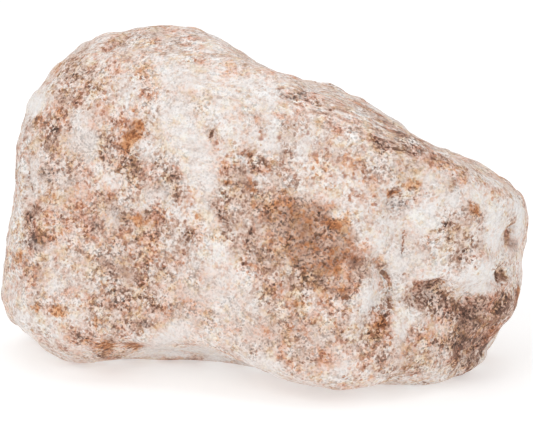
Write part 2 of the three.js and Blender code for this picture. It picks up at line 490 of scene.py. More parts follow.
        Patch("lower dark", (455, 347), (5, 2.4), 10, 0.3),
        Patch("bottom rim", (466, 368), (5, 1.5), 30, 0.4),
        Patch("right spots", (450, 230), (4, 2.8), -20, 1.1),
        Patch("right spots low", (468, 259), (2.8, 4.6), 10, 1.0),
        Patch("end pit", (511, 230), (1.8, 2.6), 0, 1.0),
        Patch("small end pit", (499, 275), (1.6, 2.6), 0, 0.8),
        Patch("foot", (380, 330), (2, 4), 0, 0.7),
        # Partly painted shade under the lower slope ledge, partly brownish streak.
        Patch("slope dark low", (383, 146), (5, 1.4), -25, 0.6),
        Patch("upper spot", (212, 134), (1.4, 1.8), 0, 0.4),
        Patch("crown streak", (190, 60), (4, 1), -20, 0.7),
        # Painted shade under the notch of the crown recess.
        Patch("crown recess", (112, 42), (7, 1.2), 27, 0.4),
        Patch("right rim", (480, 360), (6, 3), 30, 0.4),
        # Partly painted shade under the upper slope ledge, partly brownish streak.
        Patch("slope dark", (313, 101), (4, 1.4), -15, 0.6),
        Patch("foot rim", (111, 353), (4, 2), 0, 0.5),
        Patch("cluster foot", (142, 296), (3, 1.6), 0, 0.7),
        Patch("left side low", (28, 236), (3, 4), 0, 0.6),
    ),
    Tint.GREY: (
        Patch("left", (47, 173), (3.4, 3.4), 0, 0.6),
        Patch("left belt", (90, 218), (3.4, 3), 0, 0.7),
        Patch("belt", (121, 212), (3.6, 3.2), 0, 0.2),
        Patch("cheek", (157, 190), (4.4, 4.4), 0, 0.5),
        Patch("left foot", (38, 243), (3, 3), 0, 0.8),
        Patch("grey hollow", (400, 205), (4.5, 2.4), -10, 0.6),
        Patch("end pit", (515, 245), (2.4, 3.4), 0, 0.8),
        Patch("low", (140, 325), (3, 2), 0, 0.8),
        Patch("upper right", (290, 98), (6, 1.8), -10, 0.5),
        Patch("left white", (85, 135), (6, 6), 0, 0.3),
        Patch("right white", (405, 262), (9, 6), 0, 0.3),
        Patch("low white", (148, 345), (7, 3), 0, 0.6),
    ),
    Tint.WHITE: (
        Patch("band top", (174, 115), (5, 9), 20, 0.8),
        Patch("band", (190, 148), (7, 10), 25, 0.7),
        Patch("band low", (203, 180), (6, 6), 25, 0.6),
        Patch("band foot", (205, 212), (4, 6), 10, 0.7),
        Patch("crown front", (185, 82), (9, 4), -15, 0.8),
        Patch("upper middle", (226, 88), (7, 5), -20, 0.7),
        Patch("middle", (228, 122), (8, 6), -20, 0.8),
        Patch("middle right", (256, 134), (4, 4), -20, 0.8),
        Patch("left upper", (34, 103), (4, 6), 20, 1.5),
        Patch("left middle", (86, 135), (4, 7), 10, 0.8),
        Patch("left belt", (108, 178), (4, 5), 20, 0.6),
        Patch("left foot", (53, 286), (5, 3), 0, 1.0),
        Patch("foot", (78, 316), (4, 4), 0, 0.8),
        # The rim patches are painted light: they make the lower rim lighter than the salt's own colour, as
        # if lit from below.
        Patch("rim", (165, 350), (9, 4), -5, 1.0),
        Patch("rim right", (215, 352), (9, 4), -10, 1.0),
        Patch("rim low", (265, 366), (7, 4), -15, 0.9),
        Patch("front foot", (180, 328), (6, 4), -10, 0.9),
        Patch("cheek foot", (220, 265), (8, 6), -30, 1.0),
        Patch("low middle", (228, 300), (8, 6), 10, 0.7),
        Patch("middle hole", (262, 178), (3, 1.8), 0, 0.9),
        Patch("heart hole", (272, 232), (4, 2.4), 10, 0.6),
        Patch("heart hole right", (343, 268), (2, 2.4), 0, 1.0),
        Patch("above the heart", (300, 145), (6, 4), 0, 0.7),
        Patch("above the heart left", (272, 146), (2.4, 4), 0, 0.6),
        Patch("over the heart", (308, 182), (8, 3.4), -10, 0.7),
        Patch("upper right", (350, 178), (9, 4), -20, 0.7),
        Patch("right of the heart", (362, 213), (6, 6), -40, 0.7),
        Patch("beside the heart", (382, 232), (7, 6), 0, 1.0),
        Patch("beside the crack", (370, 294), (3.4, 8), 0, 1.0),
        Patch("right of the crack", (403, 262), (7, 5), 0, 0.9),
        Patch("below the hollow", (405, 325), (4, 6), 0, 0.8),
        Patch("right middle", (424, 214), (7, 6), 0, 1.0),
        Patch("right top", (428, 180), (7, 3), -15, 0.8),
        Patch("right upper", (455, 200), (6, 3), 0, 0.8),
        Patch("white lump", (478, 272), (6, 5), 0, 1.4),
        Patch("hollow rim", (424, 272), (7, 2.4), 5, 0.9),
        Patch("lump top", (482, 195), (6, 4), -10, 1.0),
        Patch("right edge", (495, 228), (3.4, 9), 10, 1.4),
        Patch("end", (521, 215), (2.6, 9), 0, 1.0),
        Patch("end low", (520, 262), (2, 4), 0, 0.8),
        Patch("lump foot", (488, 291), (5, 2), -10, 0.9),
        Patch("lower patch", (438, 328), (3, 2), 10, 0.6),
        Patch("upper front", (266, 95), (9, 4), -20, 0.9),
        Patch("upper slope", (300, 92), (7, 2), -15, 0.6),
        Patch("bottom", (345, 368), (9, 3), 0, 0.8),
        Patch("bottom right", (425, 374), (8, 3), 0, 0.6),
        Patch("toe rim", (380, 386), (10, 3), 5, 0.5),
        Patch("left rim", (25, 325), (6, 6), 0, 0.6),
        Patch("middle low", (270, 128), (3, 4), 0, 0.7),
        Patch("crown side", (132, 92), (4, 6), 0, 0.5),
        Patch("crown end", (215, 42), (6, 3), -30, 0.7),
        Patch("beside the arm", (313, 167), (3, 2.4), 0, 0.8),
        Patch("belt hole", (176, 216), (3, 2), 0, 0.6),
        Patch("heart foot", (290, 268), (2.4, 2), 0, 0.4),
        Patch("low streak", (257, 304), (3, 4), 0, 0.7),
        Patch("hollow inside", (437, 296), (3, 1.6), 0, 0.2),
        Patch("lump side", (487, 272), (4, 4), 0, 1.0),
        Patch("end side", (500, 205), (3, 6), 0, 0.7),
        Patch("left low", (58, 262), (4, 6), 0, 0.5),
        Patch("crown recess", (94, 54), (5, 2), 20, 0.8),
        Patch("wedge right", (158, 144), (2.4, 3), 0, 0.6),
        Patch("belt top", (80, 183), (3, 4), 0, 0.5),
        Patch("tail low", (315, 318), (3, 3), 0, 1.0),
        Patch("low rim", (310, 378), (4, 2), 0, 0.6),
        Patch("right of the foot", (395, 312), (2.4, 3), 0, 0.6),
        Patch("dark middle", (461, 314), (2, 2), 0, 1.0),
        Patch("rim left", (160, 337), (6, 4), 0, 0.9),
        Patch("heart top", (330, 197), (5, 2.4), -10, 0.6),
        Patch("heart side", (384, 203), (2, 5), 0, 0.6),
        Patch("left foot side", (12, 292), (4, 6), 0, 0.8),
        Patch("right upper low", (440, 190), (5, 3), 0, 0.7),
        Patch("fleck ground", (347, 150), (2.4, 5), 0, 0.5),
        Patch("lump top right", (492, 180), (5, 3), -30, 0.7),
        Patch("left strip", (20, 160), (3, 10), 0, 0.3),
        Patch("belt middle", (115, 217), (3, 2.4), 0, 0.5),
        Patch("heart middle", (284, 237), (4, 3), 0, 0.35),
        Patch("front foot right", (222, 337), (5, 4), 0, 0.5),
        Patch("dark side", (462, 320), (2, 7), 0, 0.6),
        Patch("arm top", (226, 160), (3, 3), 0, 0.5),
    ),
    Tint.WORN: (
        # The worn patches: weathered streaks, with a darker tone that is partly painted shade.
        Patch("upper slope", (314, 104), (15, 7), -20, 1.0),
        Patch("middle slope", (358, 118), (15, 7.5), -26, 1.0),
        Patch("lower slope", (402, 140), (14, 5.5), -28, 1.0),
        Patch("crown top", (186, 42), (18, 6), -8, 0.8),
        Patch("slope edge", (420, 141), (8, 3.4), -38, 1.0),
        Patch("crown edge", (112, 44), (8, 3), 25, 0.8),
        Patch("left strip", (22, 145), (4, 16), 0, 0.9),
        Patch("left side", (12, 272), (4, 8), 0, 0.9),
    ),
    Tint.SILKY: (
        Patch("crown front", (185, 68), (18, 7), -12, 1.0),
        Patch("upper middle", (250, 100), (16, 7), -20, 1.0),
        Patch("band", (190, 145), (7, 16), 25, 0.8),
        Patch("foot", (210, 320), (16, 8), -10, 0.7),
        Patch("left strip", (18, 200), (3, 30), 0, 1.0),
    ),
    Tint.FLECK: (
        Patch("right of the middle", (340, 170), (26, 10), -25, 1.0),
        Patch("beside the heart", (370, 200), (10, 12), 0, 0.8),
        Patch("upper middle", (260, 130), (16, 8), -15, 0.7),
        Patch("cheek", (190, 215), (9, 14), 0, 0.5),
        Patch("left", (150, 90), (14, 9), 0, 0.6),
        Patch("right edge", (505, 198), (8, 5), -40, 0.9),
        Patch("bottom", (400, 375), (20, 4), 0, 0.8),
    ),
}


@dataclass(frozen=True)
class Dent:
    """A crack, ledge line or pit in the surface, or a raised crystal, along points of the image.

    Attributes:
        name: What it is.
        along: The pixels that it runs through. A single one makes a round pit.
        half_width_mm: Half its width.
        depth_mm: How deep it goes. A raised crystal has a negative depth.
        darkening: How dark a line it leaves along its middle: painted shade under the slope's ledges, in the
            crown recess and along the arch line, and a dark line along the other dents.
    """

    name: str
    along: tuple[tuple[float, float], ...]
    half_width_mm: float
    depth_mm: float
    darkening: float = 0.0


# The dents and crystals that the photograph shows.
DENTS: tuple[Dent, ...] = (
    Dent("long crack", ((384, 273), (390, 285), (388, 297)), 1.2, 1.5, 1.29),
    Dent("long crack foot", ((388, 297), (389, 307), (384, 320), (379, 336)), 1.2, 1.2, 1.2),
    Dent("short crack", ((404, 230), (402, 252)), 1.0, 0.8, 0.95),
    Dent("level crack", ((395, 274), (412, 275)), 0.9, 0.5, 0.7),
    # The slope ledges' dark lines are partly painted shade under each ledge and partly brownish streak.
    Dent("upper slope ledge", ((296, 97), (314, 101), (330, 108)), 1.1, 0.8, 0.8),
    Dent("middle slope ledge", ((346, 101), (362, 112)), 1.0, 0.8, 0.8),
    Dent("lower slope ledge", ((374, 141), (390, 148), (412, 150), (436, 157)), 1.2, 1.0, 0.85),
    Dent("arched hollow", ((416, 296), (426, 288), (440, 288)), 2.6, 1.4),
    # The arch line's darkening is painted shade under the arched hollow's overhang.
    Dent("arch line", ((415, 292), (424, 284), (437, 281)), 1.4, 0.8, 0.92),
    Dent("end pit", ((512, 232), (511, 242)), 2.6, 1.9),
    Dent("end pit rim", ((514, 226), (510, 230), (509, 239)), 1.5, 0.6, 1.1),
    Dent("small end pit", ((501, 276),), 2.6, 1.6),
    Dent("small pit rim", ((501, 268), (498, 274), (499, 282)), 1.4, 0.6, 1.05),
    Dent("dark pit", ((466, 307),), 3.8, 1.8),
    Dent("dark hollow", ((480, 315), (498, 308)), 2.8, 1.4),
    Dent("lower band", ((460, 354), (478, 346), (490, 332), (503, 316)), 1.4, 1.4, 0.9),
    Dent("grey hollow", ((394, 202), (405, 206)), 3.2, 1.3),
    Dent("cheek dot", ((184, 244), (190, 232)), 1.3, 0.9, 0.75),
    Dent("left strip edge", ((24, 118), (26, 150), (29, 190), (33, 215)), 1.1, 0.8, 0.78),
    Dent("upper spot", ((211, 131), (211, 136)), 1.2, 0.6, 0.9),
    # The crown recess's darkening is painted shade under the notch.
    Dent("crown recess", ((104, 48), (114, 42), (127, 37)), 1.4, 1.2, 0.8),
    Dent("wedge foot", ((126, 146), (136, 149)), 1.4, 0.9, 0.9),
    Dent("heart rim", ((276, 190), (284, 197)), 1.1, 0.7, 0.85),
    Dent("heart arc", ((213, 204), (220, 218), (227, 232)), 1.1, 0.6, 0.8),
    Dent("left crystal", ((47, 172),), 3.6, -1.2),
    Dent("cheek crystal", ((158, 190),), 3.6, -1.0),
    Dent("belt crystal", ((121, 211),), 3.0, -0.9),
    Dent("white lump", ((480, 268),), 5.5, -1.8),
    Dent("pit crystal", ((505, 281),), 2.0, -1.0),
    Dent("rib beside the crack", ((372, 280), (371, 310)), 3.0, -1.0),
    Dent("lower corner", ((464, 370), (477, 360)), 4.5, -1.8),
)


@dataclass(frozen=True)
class Blotch:
    """A patch set on the surface.

    Attributes:
        tint: What colours it.
        centre_mm: Its middle.
        axes: Rows along its length, across it and into the lump, each one long per half size.
        strength: How strong the tint is in the middle.
    """

    tint: Tint
    centre_mm: np.ndarray
    axes: np.ndarray
    strength: float


@dataclass(frozen=True)
class Scatter:
    """Patches of one tint on the sides that the photograph doesn't show.

    Attributes:
        count: How many there are.
        smallest_mm: The smallest half length.
        largest_mm: The largest half length.
    """

    count: int
    smallest_mm: float
    largest_mm: float


HIDDEN_SIDES: dict[Tint, Scatter] = {
    Tint.PEACH: Scatter(40, 9, 18),
    Tint.TAN: Scatter(36, 5, 12),
    Tint.CLAY: Scatter(6, 6, 12),
    Tint.BROWN: Scatter(14, 3, 8),
    Tint.RUST: Scatter(16, 1.6, 4),
    Tint.GRIME: Scatter(42, 2, 6),
    Tint.GREY: Scatter(20, 3, 6),
    Tint.WHITE: Scatter(36, 4, 10),
    Tint.FLECK: Scatter(12, 8, 18),
}

# The ways that the weathered faces look: the long slope, the crown and the left side. Their darker tone is
# partly painted shade.
WORN_AND_SHADED_FACINGS: tuple[tuple[float, float, float], ...] = (
    (0.47, 0.13, 0.88),
    (-0.1, 0.2, 0.98),
    (-0.97, -0.19, 0.15),
)


@dataclass
class SaltLump:
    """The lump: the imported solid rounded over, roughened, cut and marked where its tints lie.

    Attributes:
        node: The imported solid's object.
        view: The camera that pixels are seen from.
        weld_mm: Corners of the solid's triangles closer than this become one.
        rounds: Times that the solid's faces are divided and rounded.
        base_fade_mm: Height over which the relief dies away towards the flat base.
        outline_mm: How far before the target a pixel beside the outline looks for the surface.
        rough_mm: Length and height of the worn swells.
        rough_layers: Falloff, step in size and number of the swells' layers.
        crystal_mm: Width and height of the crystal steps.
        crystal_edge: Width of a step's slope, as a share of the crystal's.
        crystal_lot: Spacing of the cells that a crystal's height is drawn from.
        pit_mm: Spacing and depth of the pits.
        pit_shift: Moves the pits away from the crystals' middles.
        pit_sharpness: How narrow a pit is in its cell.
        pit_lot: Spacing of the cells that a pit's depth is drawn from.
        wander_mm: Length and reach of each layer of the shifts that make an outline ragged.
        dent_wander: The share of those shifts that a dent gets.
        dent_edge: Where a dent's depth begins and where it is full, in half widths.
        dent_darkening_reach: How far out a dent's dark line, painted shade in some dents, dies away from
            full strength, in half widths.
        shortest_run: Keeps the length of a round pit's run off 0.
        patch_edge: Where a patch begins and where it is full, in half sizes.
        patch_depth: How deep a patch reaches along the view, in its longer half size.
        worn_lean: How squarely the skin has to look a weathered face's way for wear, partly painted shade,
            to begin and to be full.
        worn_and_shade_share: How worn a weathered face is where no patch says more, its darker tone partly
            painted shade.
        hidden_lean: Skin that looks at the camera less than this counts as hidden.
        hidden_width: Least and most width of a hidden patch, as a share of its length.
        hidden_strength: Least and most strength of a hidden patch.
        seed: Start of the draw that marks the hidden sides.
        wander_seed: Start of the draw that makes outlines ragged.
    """

    node: bpy.types.Object
    view: PhotoView
    weld_mm: float = 0.001
    rounds: int = 2
    base_fade_mm: float = 4.0
    outline_mm: float = 30.0
    rough_mm: tuple[float, float] = (8.0, 0.7)
    rough_layers: tuple[float, float, int] = (1.1, 2.1, 2)
    crystal_mm: tuple[float, float] = (7.0, 0.45)
    crystal_edge: float = 0.3
    crystal_lot: float = 7.3
    pit_mm: tuple[float, float] = (4.2, 0.7)
    pit_shift: tuple[float, float, float] = (5.0, 3.0, 1.0)
    pit_sharpness: float = 4.0
    pit_lot: float = 9.1
    wander_mm: tuple[tuple[float, float], ...] = ((9.0, 1.2), (3.0, 1.5))
    dent_wander: float = 0.45
    dent_edge: tuple[float, float] = (1.3, 0.5)
    dent_darkening_reach: float = 1.2
    shortest_run: float = 1e-9
    patch_edge: tuple[float, float] = (1.35, 0.35)
    patch_depth: float = 2.0
    worn_lean: tuple[float, float] = (0.8, 0.95)
    worn_and_shade_share: float = 0.4
    hidden_lean: float = 0.05
    hidden_width: tuple[float, float] = (0.5, 1.0)
    hidden_strength: tuple[float, float] = (0.6, 1.0)
    seed: int = 17
    wander_seed: int = 2

    def build(self) -> bpy.types.Object:
        """Makes the piece.

        Returns:
            The dressed lump, without its material.
        """
        noise.seed_set(self.wander_seed)
        solid = self.merged_copy()
        tree = BVHTree.FromBMesh(solid)
        piece = self.rounded(solid)
        solid.free()
        points, normals = self.skin(piece.data)
        dents = self.dent_distances(points, tree)
        height = self.relief(points)
        fields = self.tint_fields(points, normals, tree)
        for dent, away in zip(DENTS, dents):
            height -= dent.depth_mm * smoothstep(*self.dent_edge, away)
            # Each dent's dark line: painted shade under the slope's ledges, in the crown recess and along
            # the arch line.
            fields[Tint.CRACK] = np.maximum(fields[Tint.CRACK], dent.darkening - away / self.dent_darkening_reach)
        height *= smoothstep(0.0, self.base_fade_mm, points[:, 2])
        for mark in Mark:
            total = sum(getattr(tint.value, mark.value) * field for tint, field in fields.items())
            layer = piece.data.attributes.new(mark.value, "FLOAT", "POINT")
            layer.data.foreach_set("value", total.astype(np.float32))
        moved = points + normals * height[:, None]
        moved[:, 2] = np.maximum(moved[:, 2], 0.0)
        piece.data.vertices.foreach_set("co", (moved * MM).astype(np.float32).ravel())
        piece.data.update()
        return piece

    def merged_copy(self) -> bmesh.types.BMesh:
        """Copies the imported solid's loose triangles and joins their corners.

        Returns:
            The closed solid, in metres.
        """
        solid = bmesh.new()
        solid.from_mesh(self.node.data)
        bmesh.ops.remove_doubles(solid, verts=solid.verts, dist=self.weld_mm * MM)
        return solid

    def rounded(self, solid: bmesh.types.BMesh) -> bpy.types.Object:
        """Divides the solid's faces and rounds them over.

        Args:
            solid: The closed solid.

        Returns:
            A smooth object with the fine mesh in it.
        """
        coarse = bpy.data.meshes.new("rock_salt_coarse")
        solid.to_mesh(coarse)
        piece = bpy.data.objects.new("rock_salt", coarse)
        bpy.context.scene.collection.objects.link(piece)
        rounding = piece.modifiers.new("rounding", "SUBSURF")
        rounding.levels = self.rounds
        rounding.render_levels = self.rounds
        evaluated = piece.evaluated_get(bpy.context.evaluated_depsgraph_get())
        fine = bpy.data.meshes.new_from_object(evaluated)
        fine.name = "rock_salt"
        piece.modifiers.clear()
        piece.data = fine
        bpy.data.meshes.remove(coarse)
        fine.shade_smooth()
        return piece

    def skin(self, mesh: bpy.types.Mesh) -> tuple[np.ndarray, np.ndarray]:
        """Reads the fine mesh.

        Args:
            mesh: The mesh to read.

        Returns:
            Points in millimetres, and the normals there.
        """
        count = len(mesh.vertices)
        points = np.zeros(count * 3, np.float32)
        normals = np.zeros(count * 3, np.float32)
        mesh.vertices.foreach_get("co", points)
        mesh.vertex_normals.foreach_get("vector", normals)
        return points.reshape(-1, 3).astype(float) / MM, normals.reshape(-1, 3).astype(float)

    def on_surface(self, tree: BVHTree, pixel: tuple[float, float]) -> np.ndarray:
        """Finds the surface point behind a pixel, or the nearest one beside the outline.

        Args:
            tree: The solid's faces, in metres.
            pixel: Place in the image.

        Returns:
            The point, in millimetres.
        """
        eye = Vector(self.view.eye_mm * MM)
        aim = Vector(self.view.behind_pixel(pixel) * MM)
        ray = (aim - eye).normalized()
        found = tree.ray_cast(eye, ray)[0]
        if found is None:
            found = tree.find_nearest(aim - ray * self.outline_mm * MM)[0]
        return np.array(found) / MM

    def relief(self, points: np.ndarray) -> np.ndarray:
        """Gives the fine unevenness of broken salt: worn swells, crystal steps and pits.

        Args:
            points: Points in millimetres.

        Returns:
            The height at each point, in millimetres.
        """
        height = np.zeros(len(points))
        for index, point in enumerate(points):
            height[index] = self.relief_at(Vector(point))
        return height

    def relief_at(self, point: Vector) -> float:
        """Gives the unevenness at one point.

        Args:
            point: The point, in millimetres.

        Returns:
            The height there, in millimetres.
        """
        rough_size, rough_height = self.rough_mm
        crystal_size, crystal_height = self.crystal_mm
        pit_size, pit_depth = self.pit_mm
        rough = noise.fractal(point / rough_size, *self.rough_layers) * rough_height
        near, cells = noise.voronoi(point / crystal_size)
        edge = min(1.0, (near[1] - near[0]) / self.crystal_edge)
        step = noise.cell(cells[0] * self.crystal_lot) * crystal_height * edge
        near, cells = noise.voronoi(point / pit_size + Vector(self.pit_shift))
        bowl = math.exp(-((near[0] * self.pit_sharpness) ** 2))
        pit = max(0.0, noise.cell(cells[0] * self.pit_lot)) * pit_depth * bowl
        return rough + step - pit

    def dent_distances(self, points: np.ndarray, tree: BVHTree) -> list[np.ndarray]:
        """Gives how far the named dents are.

        Args:
            points: Points in millimetres.
            tree: The solid's faces.

        Returns:
            For each dent, the distance of each point from its middle, in half widths.
        """
        distances = []
        wandered = points + self.wander(points) * self.dent_wander
        for dent in DENTS:
            line = [self.on_surface(tree, pixel) for pixel in dent.along]
            ends = line[1:] or line
            away = np.full(len(points), np.inf)
            for start, end in zip(line, ends):
                run = end - start
                share = np.clip((wandered - start) @ run / max(run @ run, self.shortest_run), 0.0, 1.0)
                nearest = start + share[:, None] * run
                away = np.minimum(away, np.linalg.norm(wandered - nearest, axis=1))
            distances.append(away / dent.half_width_mm)
        return distances

    def wander(self, points: np.ndarray) -> np.ndarray:
        """Gives the shifts that make an outline ragged.

        Args:
            points: Points in millimetres.

        Returns:
            One shift for each point, in millimetres.
        """
        shift = np.zeros_like(points)
        for size, reach in self.wander_mm:
            shift += reach * np.array([noise.noise_vector(Vector(point) / size) for point in points])
        return shift

    def tint_fields(self, points: np.ndarray, normals: np.ndarray, tree: BVHTree) -> dict[Tint, np.ndarray]:
        """Gives how strong each tint is over the skin.

        Args:
            points: Points in millimetres.
            normals: Normals at the points.
            tree: The solid's faces.

        Returns:
            One strength for each tint and point, 0 where there is none of it and about 1 where it is full.
        """
        wandered = points + self.wander(points)
        fields = {tint: np.zeros(len(points)) for tint in Tint}
        blotches = self.seen_blotches(tree) + self.hidden_blotches(points, normals)
        for blotch in blotches:
            away = np.linalg.norm((wandered - blotch.centre_mm) @ blotch.axes.T, axis=1)
            field = fields[blotch.tint]
            field += (1.0 - field) * blotch.strength * smoothstep(*self.patch_edge, away)
        # Wear on the faces turned these ways, partly painted shade that darkens them.
        for facing in WORN_AND_SHADED_FACINGS:
            wear = self.worn_and_shade_share * smoothstep(*self.worn_lean, normals @ unit(facing))
            fields[Tint.WORN] = np.maximum(fields[Tint.WORN], wear)
        return fields

    def seen_blotches(self, tree: BVHTree) -> list[Blotch]:
        """Sets the patches of the photograph on the lump.

        Args:
            tree: The solid's faces.

        Returns:
            One blotch for each patch.
        """
        blotches = []
        for tint, patches in PATCHES.items():
            for patch in patches:
                turn = math.radians(patch.turn_deg)
                along = self.view.right * math.cos(turn) + self.view.up * math.sin(turn)
                across = self.view.up * math.cos(turn) - self.view.right * math.sin(turn)
                length, width = patch.half_mm
                depth = self.patch_depth * max(length, width)
                axes = np.array([along / length, across / width, self.view.back / depth])
                centre = self.on_surface(tree, patch.at)
                blotches.append(Blotch(tint, centre, axes, patch.strength))
        return blotches

    def hidden_blotches(self, points: np.ndarray, normals: np.ndarray) -> list[Blotch]:
        """Marks the sides that the photograph doesn't show in the same way as the front.

        Args:
            points: Points in millimetres.
            normals: Normals at the points.

        Returns:
            The blotches, drawn from a fixed seed.
        """
        draw = random.Random(self.seed)
        hidden = np.flatnonzero(normals @ self.view.back < self.hidden_lean)
        blotches = []
        for tint, scatter in HIDDEN_SIDES.items():
            for _ in range(scatter.count):
                spot = hidden[draw.randrange(len(hidden))]
                half = draw.uniform(scatter.smallest_mm, scatter.largest_mm)
                spin = unit((draw.gauss(0, 1), draw.gauss(0, 1), draw.gauss(0, 1)))
                along = unit(tuple(np.cross(normals[spot], spin)))
                across = np.cross(normals[spot], along)
                narrow = half * draw.uniform(*self.hidden_width)
                axes = np.array([along / half, across / narrow, normals[spot] / half])
                strength = draw.uniform(*self.hidden_strength)
                blotches.append(Blotch(tint, points[spot], axes, strength))
        return blotches


class Pattern(Enum):
    """The natural patterns in the salt: size in millimetres, detail, roughness and stretch along the bed.

    MOTTLE is the cloudy spread of clay, HUE and YELLOW are where it turns pink, red, grey or yellow, STREAK
    is the layers of the bed, and CLUSTER is where dark grains gather.
    """

    MOTTLE = (7.0, 4.6, 0.86, 1.0)
    HUE = (9.0, 3.4, 0.7, 1.0)
    STREAK = (1.8, 3.0, 0.8, 4.0)
    CLUSTER = (6.0, 2.0, 0.5, 1.0)
    YELLOW = (5.0, 3.4, 0.8, 1.0)


# Sockets of a Mix node that mixes colours.
MIX_SHARE = 0
MIX_FIRST = 6
MIX_SECOND = 7
MIX_COLOUR = 2


def add_node(
    tree: bpy.types.NodeTree, kind: str, inputs: dict[str | int, object], **settings: object
) -> bpy.types.Node:
    """Adds a node with its settings, values and links.

    Args:
        tree: The tree that takes the node.
        kind: Blender's name for the kind of node.
        inputs: For each input, by name or index, a socket to link or a value to set.
        **settings: The node's own settings.

    Returns:
        The node.
    """
    node = tree.nodes.new(kind)
    for name, value in settings.items():
        setattr(node, name, value)
    for name, value in inputs.items():
        if isinstance(value, bpy.types.NodeSocket):
            tree.links.new(value, node.inputs[name])
        else:
            node.inputs[name].default_value = value
    return node


@dataclass(frozen=True)
class Hue:
    """A run of colours from clean salt to full stain, and where it takes over.

    Attributes:
        colours: sRGB colours, from no stain to full stain.
        pattern: The pattern that it follows.
        mark: The vertex attribute that it follows, if there is one.
        swing: How far the pattern pushes it. Below 0, it follows the pattern's low values.
        edge: The levels between which it takes over.
    """

    colours: tuple[str, ...]
    pattern: Pattern
    mark: Mark | None
    swing: float
    edge: tuple[float, float]


# Pink salt, with fine iron oxide all through the grain.
SALMON = Hue(
    colours=("#EEE7E3", "#E9D6CD", "#DEB7A7", "#C99179", "#A06850", "#674133"),
    pattern=Pattern.HUE,
    mark=None,
    swing=4.0,
    edge=(-0.25, 0.75),
)

# Salt with yellow clay in it.
OCHRE = Hue(
    colours=("#EEEAE3", "#E8DBCB", "#DDC2A6", "#C79F7B", "#A17655", "#674735"),
    pattern=Pattern.YELLOW,
    mark=None,
    swing=5.2,
    edge=(-0.1, 0.9),
)

# Rust between the grains.
IRON = Hue(
    colours=("#EFE4DA", "#E7CAB0", "#DAA880", "#C08052", "#985D38", "#633C27"),
    pattern=Pattern.HUE,
    mark=Mark.RUST,
    swing=2.2,
    edge=(0.15, 0.9),
)

# Clear crystal, which looks grey over what lies below it.
GREY = Hue(
    colours=("#ECE8E5", "#E3D9D4", "#CDBEB7", "#AD988E", "#876F65", "#5B463C"),
    pattern=Pattern.HUE,
    mark=Mark.GREY,
    swing=-2.2,
    edge=(0.2, 0.9),
)


